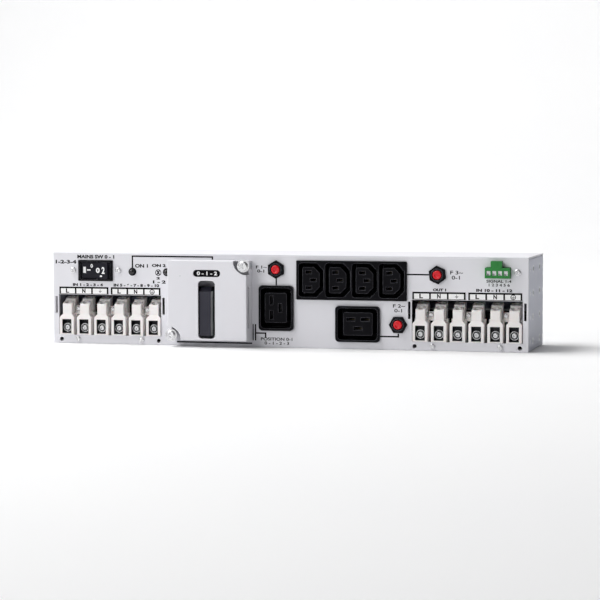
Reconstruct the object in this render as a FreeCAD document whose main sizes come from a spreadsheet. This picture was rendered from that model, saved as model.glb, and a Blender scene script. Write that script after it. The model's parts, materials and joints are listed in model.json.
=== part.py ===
"""Two-unit-high rack box with the input switch, bypass switch, outlets and terminals of a UPS.

Frame: +Z up, +X along the width, the connection face towards -Y. The origin is the centre of
the chassis's underside. Millimetres.
"""

import FreeCAD, Part
import math
import os
import Sketcher
from types import SimpleNamespace

V = FreeCAD.Vector

# ---------------------------------------------------------------- driving dimensions

SIZES = {
    # chassis
    "width": 440.0,
    "depth": 82.0,
    "height": 83.0,
    "gauge": 1.2,
    "bend": 1.6,
    "flange": 9.0,
    "ear_hole_front": 24.5,
    "ear_hole_back": 61.0,
    "ear_hole_low": 8.6,
    "ear_hole_pitch": 21.15,
    "ear_hole_radius": 2.1,
    "insert_radius": 3.3,
    "eyelet_front": 9.0,
    "eyelet_back": 77.5,
    "eyelet_radius": 1.9,
    "screw_radius": 1.5,
    "screw_head": 2.7,
    # terminal strips
    "terminal_offset": 165.3,
    "terminal_cut_half": 49.3,
    "terminal_cut_low": 7.8,
    "terminal_cut_high": 44.7,
    "pole_pitch": 16.7,
    "pole_width": 13.6,
    "pole_proud": 1.5,
    "well_width": 8.8,
    "well_low": 8.95,
    "well_high": 22.05,
    "clamp_height": 14.4,
    "turret_width": 9.0,
    "rail_front": 12.5,
    "rail_step": 17.5,
    "rail_back": 26.0,
    "guard_hole": 1.9,
    "guard_slot": 1.15,
    "label_low": 45.1,
    "label_high": 51.8,
    # input switch
    "rocker_across": -178.6,
    "rocker_up": 66.9,
    "rocker_bezel_width": 33.1,
    "rocker_bezel_height": 19.1,
    "rocker_tilt": -10.0,
    "switch_screw_offset": 21.8,
    # lamps
    "lamp_left": -143.2,
    "lamp_right": -110.3,
    "lamp_up": 66.2,
    "lamp_radius": 3.6,
    # bypass switch and its cover
    "handle_across": -69.4,
    "handle_up": 32.2,
    "handle_half": 22.1,
    "handle_width": 10.7,
    "shaft_radius": 4.0,
    "plate_screw": 18.4,
    "cover_across": -67.15,
    "cover_up": 42.05,
    "cover_width": 74.0,
    "cover_tall": 71.7,
    "cover_proud": 18.0,
    "cover_notch": 12.5,
    "cover_screw_inset": 3.05,
    "cover_screw_drop": 4.45,
    "notch_floor": 8.0,
    "side_slot_low": 17.1,
    "side_slot_high": 55.4,
    "slot_left": -75.3,
    "slot_right": -59.5,
    "slot_low": 8.1,
    "slot_high": 60.0,
    "window_up": 66.55,
    "window_width": 25.4,
    "window_height": 6.3,
    "peg_across": -92.0,
    "peg_up": 64.0,
    # outlets
    "outlet_rim": 2.4,
    "bank_across": 61.65,
    "bank_up": 60.8,
    "bank_width": 100.6,
    "bank_tall": 35.0,
    "bank_pitch": 24.45,
    "big_width": 32.0,
    "big_tall": 40.6,
    "big_left_across": -7.4,
    "big_left_up": 35.3,
    "big_right_across": 67.5,
    "big_right_up": 22.3,
    # circuit breakers
    "breaker_nut_flats": 14.2,
    "breaker_button": 3.9,
    # signal connector
    "signal_across": 193.25,
    "signal_up": 69.35,
    "signal_width": 21.7,
    "signal_tall": 9.1,
    "signal_pitch": 5.08,
    "signal_screw": 210.2,
}

DOC = FreeCAD.newDocument("bypass_unit")


class Length:
    """A length: its value in millimetres and the sheet formula that gives it."""

    def __init__(self, value, formula):
        self.value = value
        self.formula = formula

    def joined(self, other, sign, value):
        return Length(value, f"({self.formula}{sign}{other.formula})")

    def __add__(self, other):
        other = length(other)
        return self.joined(other, "+", self.value + other.value)

    def __radd__(self, other):
        return length(other) + self

    def __sub__(self, other):
        other = length(other)
        return self.joined(other, "-", self.value - other.value)

    def __rsub__(self, other):
        return length(other) - self

    def __mul__(self, other):
        other = length(other)
        return self.joined(other, "*", self.value * other.value)

    def __rmul__(self, other):
        return length(other) * self

    def __truediv__(self, other):
        other = length(other)
        return self.joined(other, "/", self.value / other.value)

    def __neg__(self):
        return Length(-self.value, f"(0-{self.formula})")


def length(number):
    """A plain number as a Length; a Length stays as it is."""
    if isinstance(number, Length):
        return number
    return Length(float(number), f"({float(number):.4f})")


def make_sheet():
    """Write the driving dimensions into the sheet and return them as lengths."""
    sheet = DOC.addObject("Spreadsheet::Sheet", "Sizes")
    lengths = {}
    for row, (word, number) in enumerate(SIZES.items(), start=1):
        sheet.set(f"A{row}", word)
        sheet.set(f"B{row}", f"{number:g}")
        sheet.setAlias(f"B{row}", word)
        lengths[word] = Length(number, f"Sizes.{word}")
    DOC.recompute()
    return SimpleNamespace(**lengths)


D = make_sheet()
FACE = -D.depth / 2
INSIDE = FACE + D.gauge
BACK = D.depth / 2
SIDE = D.width / 2
LID = D.height - D.gauge
NODES = {}
AXES = {"x": FreeCAD.Rotation(V(0, 1, 0), 90), "y": FreeCAD.Rotation(V(1, 0, 0), -90),
        "z": FreeCAD.Rotation()}

# ---------------------------------------------------------------- builders


def about(middle, half):
    """The span that reaches half either side of the middle."""
    return (length(middle) - half, length(middle) + half)


def bind(thing, prop, size):
    """Tie a property to the sheet formula of a length."""
    thing.setExpression(prop, length(size).formula)


def place(thing, x, y, z):
    """Tie a thing's position to the sheet."""
    for axis, size in zip("xyz", (x, y, z)):
        bind(thing, f"Placement.Base.{axis}", size)
    return thing


def box(x, y, z, name="block"):
    """A block between two planes on each axis."""
    block = DOC.addObject("Part::Box", name)
    for side, (low, high) in zip(("Length", "Width", "Height"), (x, y, z)):
        bind(block, side, length(high) - low)
    return place(block, x[0], y[0], z[0])


def start_point(axis, span, centre):
    """Where a round shape along an axis starts, from its centre on the other two axes."""
    low = span[0]
    first, second = centre
    return {"x": (low, first, second), "y": (first, low, second), "z": (first, second, low)}[axis]


def rod(axis, span, centre, radius, name="rod"):
    """A cylinder along an axis."""
    cylinder = DOC.addObject("Part::Cylinder", name)
    bind(cylinder, "Radius", radius)
    bind(cylinder, "Height", length(span[1]) - span[0])
    cylinder.Placement = FreeCAD.Placement(V(), AXES[axis])
    return place(cylinder, *start_point(axis, span, centre))


def taper(axis, span, centre, radius_low, radius_high, name="taper"):
    """A cone along an axis, from one radius to another."""
    cone = DOC.addObject("Part::Cone", name)
    bind(cone, "Radius1", radius_low)
    bind(cone, "Radius2", radius_high)
    bind(cone, "Height", length(span[1]) - span[0])
    cone.Placement = FreeCAD.Placement(V(), AXES[axis])
    return place(cone, *start_point(axis, span, centre))


def ball(centre, radius, name="ball"):
    """A sphere."""
    sphere = DOC.addObject("Part::Sphere", name)
    bind(sphere, "Radius", radius)
    return place(sphere, *centre)


def fuse(shapes, name="joined"):
    """One solid from several."""
    if len(shapes) == 1:
        return shapes[0]
    joined = DOC.addObject("Part::MultiFuse", name)
    joined.Shapes = shapes
    joined.Refine = True
    return joined


def group(shapes, name="group"):
    """Several separate solids in one shape."""
    compound = DOC.addObject("Part::Compound", name)
    compound.Links = shapes
    return compound


def cut(base, tools, name="cut"):
    """The base with separate tools taken out of it."""
    result = DOC.addObject("Part::Cut", name)
    result.Base = base
    result.Tool = tools[0] if len(tools) == 1 else group(tools, name + "_tools")
    result.Refine = True
    return result


def common(first, second, name="common"):
    """What two shapes share."""
    result = DOC.addObject("Part::Common", name)
    result.Base = first
    result.Tool = second
    return result


def soften(base, radius, chosen, name="softened"):
    """Round the edges that the test chooses; the test gets an edge and its box."""
    DOC.recompute()
    picked = []
    for index, edge in enumerate(base.Shape.Edges, start=1):
        if chosen(edge, edge.BoundBox):
            picked.append((index, float(radius), float(radius)))
    fillet = DOC.addObject("Part::Fillet", name)
    fillet.Base = base
    fillet.Edges = picked
    return fillet


def runs_along(axis):
    """A test for the straight edges that run along one axis."""
    def chosen(edge, box_of_edge):
        sizes = {"x": box_of_edge.XLength, "y": box_of_edge.YLength, "z": box_of_edge.ZLength}
        others = [size for key, size in sizes.items() if key != axis]
        return sizes[axis] > 0.01 and max(others) < 0.001
    return chosen


def rounded_box(x, y, z, radius, axis="y", name="rounded_block"):
    """A block whose edges along one axis are round."""
    return soften(box(x, y, z, name + "_blank"), radius, runs_along(axis), name)


def pad(plane, span, points, name="profile"):
    """A closed outline drawn on a plane and padded along that plane's normal."""
    body = DOC.addObject("PartDesign::Body", name)
    sketch = body.newObject("Sketcher::SketchObject", name + "_outline")
    role = {"x": "YZ_Plane", "y": "XZ_Plane", "z": "XY_Plane"}[plane]
    origin = [item for item in body.Origin.OriginFeatures if item.Role == role][0]
    sketch.AttachmentSupport = [(origin, "")]
    sketch.MapMode = "FlatFace"
    corners = [(length(across), length(along)) for across, along in points]
    total = len(corners)
    for index in range(total):
        start, end = corners[index], corners[(index + 1) % total]
        line = Part.LineSegment(V(start[0].value, start[1].value, 0), V(end[0].value, end[1].value, 0))
        sketch.addGeometry(line, False)
    for index in range(total):
        sketch.addConstraint(Sketcher.Constraint("Coincident", index, 2, (index + 1) % total, 1))
    for index, corner in enumerate(corners):
        for kind, size in zip(("DistanceX", "DistanceY"), corner):
            place_of = sketch.addConstraint(Sketcher.Constraint(kind, -1, 1, index, 1, size.value))
            sketch.setExpression(f"Constraints[{place_of}]", size.formula)
    feature = body.newObject("PartDesign::Pad", name + "_pad")
    feature.Profile = sketch
    bind(feature, "Length", length(span[1]) - span[0])
    sketch.Visibility = False
    if plane == "y":
        return place(body, 0, span[1], 0)
    return place(body, *((span[0], 0, 0) if plane == "x" else (0, 0, span[0])))


def copy_at(source, x, y, z, turn=None, name="copy"):
    """A copy of a shape, moved and if need be turned."""
    copied = DOC.addObject("Part::Compound", name)
    copied.Links = [source]
    if turn:
        copied.Placement = FreeCAD.Placement(V(), turn)
    return place(copied, x, y, z)


def node(label, shape):
    """Name a finished sub-part."""
    shape.Label = label
    NODES[label] = shape
    return shape


def chamfered(x, z, corner):
    """A rectangle's outline whose right-hand corners are cut off."""
    (left, right), (low, high) = x, z
    left, right, low, high = [length(number) for number in (left, right, low, high)]
    return [(left, low), (right - corner, low), (right, low + corner),
            (right, high - corner), (right - corner, high), (left, high)]


def pan_screw(x, z, tip, head_radius=None, head_back=None, shank=None):
    """A cross-slotted pan-head screw that goes into the panel towards +Y."""
    head_radius = head_radius or D.screw_head
    back = head_back or FACE
    shank = shank or D.screw_radius
    head = soften(rod("y", (back - 1.8, back), (x, z), head_radius), 0.9,
                  lambda edge, size: size.YLength < 0.01 and size.YMax < back.value - 1)
    slots = [box(about(x, wide), (back - 2, back - 1), about(z, tall))
             for wide, tall in ((1.6, 0.3), (0.3, 1.6))]
    return fuse([cut(head, [fuse(slots)]), rod("y", (back, tip), (x, z), shank)])


# ---------------------------------------------------------------- places shared by sub-parts

TERMINALS = {"input": (-D.terminal_offset, -D.terminal_offset + 0.35),
             "output": (D.terminal_offset + 0.3, D.terminal_offset + 0.4)}
BRACKET_SCREWS = {"input": (-196.0, -134.6), "output": (134.9, 195.2)}
BREAKERS = {"left": (-7.5, 69.9), "middle": (104.2, 22.3), "right": (139.4, 66.9)}
COVER_X = about(D.cover_across, D.cover_width / 2)
COVER_Z = about(D.cover_up, D.cover_tall / 2)
CORNERS = {"upper": (COVER_X[1], COVER_Z[1]), "lower": (COVER_X[0], COVER_Z[0])}
COVER_SCREWS = {
    "upper": (COVER_X[1] - D.cover_screw_inset, COVER_Z[1] - D.cover_screw_drop),
    "lower": (COVER_X[0] + D.cover_screw_inset, COVER_Z[0] + D.cover_screw_drop),
}
LID_SCREWS = [(side * (SIDE - 5), y) for side in (-1, 1) for y in (-27, 0, 27)]
LID_SCREWS += [(x, BACK - 5) for x in (-130, 0, 130)]
EAR_ROWS = [D.ear_hole_low + D.ear_hole_pitch * row for row in range(4)]
EAR_COLUMNS = [FACE + D.ear_hole_front, FACE + D.ear_hole_back]
EYELET_COLUMNS = [FACE + D.eyelet_front, FACE + D.eyelet_back]
PLATE_SCREWS = [(D.handle_across + D.plate_screw * dx, D.handle_up + D.plate_screw * dz)
                for dx in (-1, 1) for dz in (-1, 1)]

# ---------------------------------------------------------------- chassis


def chassis_tray():
    """Bent steel floor, sides and back, with an inward flange at the top for the lid."""
    outer = soften(box((-SIDE, SIDE), (INSIDE, BACK), (0, LID), "tray_blank"), SIZES["bend"],
                   lambda edge, size: runs_along("y")(edge, size)
                   or (runs_along("z")(edge, size) and size.YMin > 0)
                   or (runs_along("x")(edge, size) and size.YMin > 0))
    hollow = box(about(0, SIDE - D.gauge), (INSIDE - 1, BACK - D.gauge),
                 (D.gauge, LID - D.gauge), "tray_hollow")
    mouth = box(about(0, SIDE - D.flange), (INSIDE - 1, BACK - D.flange),
                (LID - D.gauge * 2, LID + 1), "tray_mouth")
    shell = cut(outer, [fuse([hollow, mouth])], "tray_shell")
    holes = [rod("x", (-SIDE - 1, SIDE + 1), (y, z), radius)
             for columns, radius in ((EAR_COLUMNS, D.insert_radius), (EYELET_COLUMNS, D.eyelet_radius))
             for y in columns for z in EAR_ROWS]
    holes += [rod("z", (LID - 3, LID + 1), (x, y), D.screw_radius) for x, y in LID_SCREWS]
    return node("chassis_tray", cut(shell, holes, "tray"))


def side_span(side, near, far):
    """The span between two depths behind the outer face of a side wall."""
    if side > 0:
        return (SIDE - far, SIDE - near)
    return (near - SIDE, far - SIDE)


def rack_ear_inserts():
    """In both side walls: threaded inserts for the rack ears, and small eyelets beside them."""
    inserts = []
    for side in (-1, 1):
        for z in EAR_ROWS:
            for y in EAR_COLUMNS:
                barrel = rod("x", side_span(side, 0, 5), (y, z), D.insert_radius)
                collar = rod("x", side_span(side, D.gauge, D.gauge + 0.8), (y, z), D.insert_radius + 1)
                thread = rod("x", side_span(side, -1, 7), (y, z), D.ear_hole_radius)
                inserts.append(cut(fuse([barrel, collar]), [thread]))
            for y in EYELET_COLUMNS:
                eyelet = rod("x", side_span(side, 0, D.gauge * 2), (y, z), D.eyelet_radius)
                inserts.append(cut(eyelet, [rod("x", side_span(side, -1, 4), (y, z), 0.9)]))
    return node("rack_ear_inserts", group(inserts, "inserts"))


def panel_holes():
    """Every opening of the connection panel."""
    through = (FACE - 2, INSIDE + 2)
    holes = []
    for opening, poles in TERMINALS.values():
        holes.append(box(about(opening, D.terminal_cut_half), through,
                         (D.terminal_cut_low, D.terminal_cut_high)))
        for offset in (-51.6, 51.6):
            holes.append(box(about(opening + offset, D.guard_slot), through, (27.6, 42.9)))
        for offset in (-46.8, 46.8):
            holes.append(rod("y", through, (opening + offset, 3.6), D.guard_hole))
    for pair in BRACKET_SCREWS.values():
        holes += [rod("y", through, (x, 4.0), D.screw_radius) for x in pair]
    holes.append(box(about(D.rocker_across, 15.5), through, about(D.rocker_up, 8.8)))
    for side in (-1, 1):
        across = D.rocker_across + D.switch_screw_offset * side
        holes.append(rod("y", through, (across, D.rocker_up + 0.2), D.screw_radius))
    holes += [rod("y", through, (x, D.lamp_up), 2.9) for x in (D.lamp_left, D.lamp_right)]
    holes.append(rod("y", through, (D.handle_across, D.handle_up), 7.0))
    holes += [rod("y", through, spot, D.screw_radius) for spot in PLATE_SCREWS]
    holes += [rod("y", through, spot, 2.45) for spot in COVER_SCREWS.values()]
    holes.append(rod("y", through, (D.peg_across, D.peg_up), 1.9))
    holes.append(box(about(D.bank_across, D.bank_width / 2 - 0.9), through,
                     about(D.bank_up, D.bank_tall / 2 - 0.9)))
    for across, up, turned in big_outlets():
        wide, tall = (D.big_tall, D.big_width) if turned else (D.big_width, D.big_tall)
        holes.append(rounded_box(about(across, wide / 2 - 0.4), through, about(up, tall / 2 - 0.4), 3.2))
    holes += [rod("y", through, spot, 5.6) for spot in BREAKERS.values()]
    holes.append(box(about(D.signal_across, D.signal_width / 2 + 0.35), through,
                     about(D.signal_up, D.signal_tall / 2 + 0.35)))
    holes.append(rod("y", through, (D.signal_screw, D.signal_up + 0.3), D.screw_radius))
    holes += [rod("x", side_span(side, 0, 4), (FACE + D.eyelet_front, z), D.eyelet_radius)
              for side in (-1, 1) for z in EAR_ROWS]
    return holes


def connection_panel():
    """Front sheet with all the openings, and flanges riveted inside the tray by the eyelets."""
    plate = soften(box((-SIDE, SIDE), (FACE, INSIDE), (0, LID), "panel_blank"), 0.6,
                   lambda edge, size: size.YMax < FACE.value + 0.01 and size.ZMax < LID.value - 0.1
                   or (runs_along("z")(edge, size) and size.YMax < FACE.value + 0.01))
    flanges = [
        box(about(0, SIDE - D.gauge), (INSIDE, INSIDE + 9), (D.gauge, D.gauge * 2)),
        box(about(0, SIDE - D.flange - 0.5), (INSIDE, INSIDE + 7), (LID - D.gauge, LID)),
    ]
    inner, outer = SIDE - D.gauge * 2, SIDE - D.gauge
    for span in ((inner, outer), (-outer, -inner)):
        flanges.append(box(span, (INSIDE, INSIDE + 10.8), (4, 78)))
    sheet = fuse([plate] + flanges, "panel_sheet")
    return node("connection_panel", cut(sheet, panel_holes(), "panel"))


def top_cover():
    """Flat lid with countersunk holes along its sides and back."""
    plate = soften(box((-SIDE, SIDE), (FACE, BACK), (LID, D.height), "lid_blank"), 0.5,
                   lambda edge, size: size.ZMin > LID.value + 1 or runs_along("z")(edge, size))
    holes = []
    for x, y in LID_SCREWS:
        holes.append(taper("z", (LID - 0.4, D.height), (x, y), 1.3, 2.9))
    return node("top_cover", cut(plate, holes, "lid"))


def top_cover_screws():
    """Nine countersunk screws, flush with the lid."""
    screws = []
    for x, y in LID_SCREWS:
        head = taper("z", (LID - 0.4, D.height), (x, y), 1.3, 2.9)
        shank = rod("z", (LID - 5, LID), (x, y), D.screw_radius)
        clear = common(head, box(about(x, 3), about(y, 3), (LID, D.height)))
        slot = fuse([box(about(x, wide), about(y, deep), (D.height - 0.8, D.height + 1))
                     for wide, deep in ((1.5, 0.3), (0.3, 1.5))])
        screws.append(cut(fuse([clear, shank]), [slot]))
    return node("top_cover_screws", group(screws, "lid_screws"))


# ---------------------------------------------------------------- terminal strips


def pole():
    """One pole of a terminal strip: a clamp housing and two stepped screw turrets."""
    half = D.pole_width / 2
    front = FACE - D.pole_proud
    housing = pad("x", (-half, half), [
        (front, 8.0), (front, 22.9), (FACE + 0.6, 28), (FACE + D.rail_front, 28),
        (FACE + D.rail_front, 8.0)], "housing")
    shoulders = []
    for side in (-1, 1):
        edge = half * side
        inner = edge - 3.4 * side
        shoulders.append(pad("y", (front - 1, FACE + 7.5), [
            (edge, 24.0), (edge + side, 24.0), (edge + side, 29), (inner, 29), (inner, 27.6)], "shoulder"))
    well = box(about(0, D.well_width / 2), (front - 1, FACE + 6.5), (D.well_low, D.well_high))
    bore = rod("y", (FACE + 6, FACE + 10), (0, D.clamp_height), D.screw_radius)
    lower = cut(housing, shoulders + [fuse([well, bore])], "pole_lower")
    turrets = []
    for near, far, top, wide in ((0.2, 6.6, 36.2, D.turret_width), (8.2, 17.5, 40.3, D.turret_width + 0.6)):
        body = pad("x", about(0, wide / 2), [
            (FACE + near, 24), (FACE + near, top - 1.0), (FACE + near + 0.8, top),
            (FACE + far, top + 2.4), (FACE + far, 24)], "turret")
        turrets.append(soften(body, 0.8, lambda edge, size: size.ZMax > top - 3
                              and size.ZLength > 5 and size.XLength < 0.01 and size.YLength < 0.01))
    bridge = box(about(0, D.turret_width / 2), (FACE + 4, FACE + 10), (24, 31))
    solid = fuse([lower] + turrets + [bridge], "pole_solid")
    entries = [rod("z", (24, 46), (0, FACE + middle), 2.5) for middle in (3.5, 12.9)]
    return cut(solid, entries, "pole")


POLE = pole()


def pole_places(middle):
    """The six pole centres of a strip."""
    return [middle + D.pole_pitch * (index - 2.5) for index in range(6)]


def terminal_strip(side):
    """Six poles, joined in pairs by webs that take the long screws."""
    middle = TERMINALS[side][1]
    poles = [copy_at(POLE, x, 0, 0) for x in pole_places(middle)]
    webs = [box(about(middle + offset * D.pole_pitch, 2.6), (FACE + 8, FACE + 12.5), (26, 34))
            for offset in (-2, 0, 2)]
    moulding = fuse(poles + webs, "strip_solid")
    holes = [rod("y", (FACE + 6, FACE + 30), (middle + offset * D.pole_pitch, 31.2), 1.2)
             for offset in (-2, 0, 2)]
    return node(f"{side}_terminal_strip", cut(moulding, holes, "strip"))


def terminal_rails():
    """A stepped black rail behind each strip, between the poles and the bracket."""
    rails = []
    for opening, middle in TERMINALS.values():
        across = about(middle, 48.6)
        foot = box(across, (FACE + D.rail_front, FACE + D.rail_back), (D.gauge * 2, 20))
        back = box(across, (FACE + D.rail_step, FACE + D.rail_back), (20, 34.4))
        holes = [rod("y", (FACE + 12, FACE + 30), (middle + offset * D.pole_pitch, 31.2), 1.2)
                 for offset in (-2, 0, 2)]
        rails.append(cut(fuse([foot, back]), holes, "rail"))
    return node("terminal_rails", group(rails, "rails"))


def clamp_sleeve():
    """Dark steel cage that lines one clamp's well, open to the front."""
    front = FACE - D.pole_proud
    half = D.well_width / 2
    blank = box(about(0, half - 0.05), (front + 0.2, FACE + 6.45), (D.well_low + 0.05, D.well_high - 0.05))
    hollow = box(about(0, half - 0.4), (front - 1, FACE + 5.9), (D.well_low + 0.4, D.well_high - 0.4))
    return cut(blank, [fuse([hollow, rod("y", (FACE + 5, FACE + 7), (0, D.clamp_height), D.screw_radius)])],
               "sleeve")


def clamp_screw():
    """Clamp screw with the round clamping ring in front of its cage."""
    spot = (0, D.clamp_height)
    head = soften(rod("y", (FACE + 0.4, FACE + 3.4), spot, 2.3), 0.5,
                  lambda edge, size: size.YLength < 0.01 and size.YMax < FACE.value + 1)
    shank = rod("y", (FACE + 3, FACE + 10), spot, D.screw_radius)
    recess = rod("y", (FACE - 1, FACE + 2.2), spot, 1.05)
    ring = soften(rod("y", (FACE + 0.6, FACE + 2.4), spot, 3.97), 0.25,
                  lambda edge, size: size.YLength < 0.01 and size.YMax < FACE.value + 1)
    hoop = cut(ring, [rod("y", (FACE, FACE + 3), spot, 3.35)], "clamp_ring")
    return group([cut(fuse([head, shank]), [recess], "clamp_screw"), hoop], "clamp_set")


SLEEVE = clamp_sleeve()
CLAMP_SCREW = clamp_screw()


def clamps():
    """The twelve clamp sleeves and the twelve clamp screws."""
    places = [x for opening, middle in TERMINALS.values() for x in pole_places(middle)]
    node("clamp_sleeves", group([copy_at(SLEEVE, x, 0, 0) for x in places], "sleeves"))
    node("clamp_screws", group([copy_at(CLAMP_SCREW, x, 0, 0) for x in places], "screws_in_sleeves"))


def terminal_bracket(side):
    """Steel angle under and behind a strip, with two tabs screwed to the panel."""
    middle = TERMINALS[side][1]
    across = about(middle, 47)
    foot = box(across, (FACE + 11.4, FACE + D.rail_back + D.gauge), (D.gauge, D.gauge * 2))
    leg = box(across, (FACE + D.rail_back, FACE + D.rail_back + D.gauge), (D.gauge, 36))
    pieces = [foot, leg]
    for x in BRACKET_SCREWS[side]:
        pieces.append(box(about(x, 4), (INSIDE, FACE + 12), (D.gauge * 2, D.gauge * 2 + 0.8)))
        pieces.append(box(about(x, 4), (INSIDE, INSIDE + 1), (D.gauge * 2, 7)))
    angle = fuse(pieces, "angle")
    holes = [rod("y", (FACE, FACE + 7), (x, 4.0), D.screw_radius) for x in BRACKET_SCREWS[side]]
    holes += [rod("y", (FACE + 20, FACE + 30), (middle + offset * D.pole_pitch, 31.2), 1.2)
              for offset in (-2, 0, 2)]
    return cut(angle, holes, "bracket")


def terminal_brackets():
    """One bracket for each strip."""
    return node("terminal_brackets", group([terminal_bracket(side) for side in TERMINALS], "brackets"))


def strip_screws():
    """Three long screws for each strip, which hold it against its bracket."""
    screws = [pan_screw(middle + offset * D.pole_pitch, 31.2, FACE + D.rail_back + 4,
                        head_radius=length(2.1), head_back=FACE + 8, shank=length(1.2))
              for opening, middle in TERMINALS.values() for offset in (-2, 0, 2)]
    return node("strip_screws", group(screws, "long_screws"))


def bracket_screws():
    """The four small screws along the panel's lower edge."""
    spots = [x for pair in BRACKET_SCREWS.values() for x in pair]
    screws = [pan_screw(x, 4.0, INSIDE + 3, head_radius=length(2.3)) for x in spots]
    return node("bracket_screws", group(screws, "bracket_screws_group"))


def terminal_labels():
    """Four label strips, each with three cells, above the terminals."""
    labels = []
    for opening, poles in TERMINALS.values():
        for side in (-1, 1):
            middle = opening + 25.0 * side
            labels.append(box(about(middle, 23.8), (FACE - 0.25, FACE), (D.label_low, D.label_high)))
    return node("terminal_labels", group(labels, "labels"))


# ---------------------------------------------------------------- input switch


def input_switch():
    """Rocker switch in a rectangular bezel, held by a strap behind the panel."""
    x, z = D.rocker_across, D.rocker_up
    bezel = soften(box(about(x, D.rocker_bezel_width / 2), (FACE - 2.2, FACE),
                       about(z, D.rocker_bezel_height / 2)), 0.9,
                   lambda edge, size: size.YMax < FACE.value - 1 or runs_along("y")(edge, size))
    rear = box(about(x, 15.3), (FACE, FACE + 24), about(z, 8.6))
    pocket = box(about(x, 14.4), (FACE - 3, FACE + 10), about(z, 7.9))
    pivot = rod("z", about(z, 8.3), (x, FACE + 3), 1.15)
    slots = [box(about(x + dx, 3.2), (FACE + 9, FACE + 25), about(z + dz, 0.4))
             for dx in (-8, 8) for dz in (-3.4, 3.4)]
    body = cut(fuse([bezel, rear]), [fuse([pocket, pivot] + slots)], "switch_body")
    node("input_switch_housing", body)

    end = [(13.02, -5.4), (13.62, -3.65), (13.98, -1.84), (14.1, 0), (13.9, 1.2), (5.5, 3.2)]
    paddle = pad("z", about(0, 7.5), [(0, -3.0)] + end + [(-x_end, y_end) for x_end, y_end in reversed(end)],
                 "paddle")
    softened = soften(paddle, 0.5, lambda edge, size: size.YMax < -2.9 and size.ZLength < 0.01)
    pivoted = cut(softened, [rod("z", about(0, 8.5), (0, 0), 1.2)], "paddle_bored")
    turn = FreeCAD.Rotation(V(0, 0, 1), SIZES["rocker_tilt"])
    node("input_switch_rocker", copy_at(pivoted, x, FACE + 3, z, turn, "rocker"))

    node("input_switch_pin", rod("z", about(z, 8.3), (x, FACE + 3), 1.15, "pin"))
    strap = cut(box(about(x, 26), (INSIDE, INSIDE + 1.5), about(z, 11)),
                [box(about(x, 15.4), (INSIDE - 1, INSIDE + 3), about(z, 8.7))]
                + [rod("y", (INSIDE - 1, INSIDE + 3), (x + D.switch_screw_offset * side, z + 0.2),
                       D.screw_radius) for side in (-1, 1)], "strap")
    node("input_switch_strap", strap)
    screws = [pan_screw(x + D.switch_screw_offset * side, z + 0.2, INSIDE + 4) for side in (-1, 1)]
    node("input_switch_screws", group(screws, "switch_screws"))


def blade_terminals():
    """Push-on blades at the back of the input switch and of the circuit breakers."""
    blades = [box(about(D.rocker_across + dx, 3.15), (FACE + 12, FACE + 33),
                  about(D.rocker_up + dz, 0.4)) for dx in (-8, 8) for dz in (-3.4, 3.4)]
    blades += [box(about(x + dx, 3.15), (INSIDE + 24, INSIDE + 40), about(z, 0.4))
               for x, z in BREAKERS.values() for dx in (-3.6, 3.6)]
    return node("blade_terminals", group(blades, "blades"))


# ---------------------------------------------------------------- lamps and their board


def lamps():
    """Two status lamps: a black bezel and a domed lens each, soldered to a board behind."""
    bezels, lenses = [], []
    for x in (D.lamp_left, D.lamp_right):
        spot = (x, D.lamp_up)
        rim = soften(rod("y", (FACE - 1.2, FACE), spot, D.lamp_radius), 0.6,
                     lambda edge, size: size.YLength < 0.01 and size.YMax < FACE.value - 1)
        sleeve = rod("y", (FACE, INSIDE + 5), spot, 2.9)
        bezels.append(cut(fuse([rim, sleeve]), [rod("y", (FACE - 3, INSIDE + 7), spot, 2.4)]))
        barrel = rod("y", (FACE - 1.2, INSIDE + 6), spot, 2.4)
        lenses.append(fuse([barrel, ball((x, FACE - 1.2, D.lamp_up), 2.4)]))
    node("lamp_bezels", group(bezels, "lamp_bezels_group"))
    node("lamp_lenses", group(lenses, "lamp_lenses_group"))
    board = box((-150, -103), (INSIDE + 6, INSIDE + 7.6), (57, 78))
    spots = [(-133, 75), (-120, 75)]
    board = cut(board, [rod("y", (INSIDE, INSIDE + 9), spot, D.screw_radius) for spot in spots], "lamp_pcb")
    node("lamp_board", board)


def board_fixings():
    """Spacers and screws of the lamp board and of the signal board."""
    lamp_spots = [(-133, 75), (-120, 75)]
    signal_spot = (D.signal_screw, D.signal_up + 0.3)
    spacers = [cut(rod("y", (INSIDE, INSIDE + 6), spot, 2.6),
                   [rod("y", (INSIDE + 1, INSIDE + 7), spot, D.screw_radius)]) for spot in lamp_spots]
    spacers.append(cut(rod("y", (INSIDE, INSIDE + 12), signal_spot, 2.6),
                       [rod("y", (INSIDE - 1, INSIDE + 13), signal_spot, D.screw_radius)]))
    node("board_spacers", group(spacers, "spacers"))
    screws = [fuse([rod("y", (INSIDE + 2, INSIDE + 7.6), spot, D.screw_radius),
                    rod("y", (INSIDE + 7.6, INSIDE + 9.4), spot, D.screw_head)]) for spot in lamp_spots]
    screws.append(pan_screw(*signal_spot, INSIDE + 13.6, head_radius=length(3.0)))
    node("board_screws", group(screws, "screws_in_spacers"))


# ---------------------------------------------------------------- bypass switch


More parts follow.
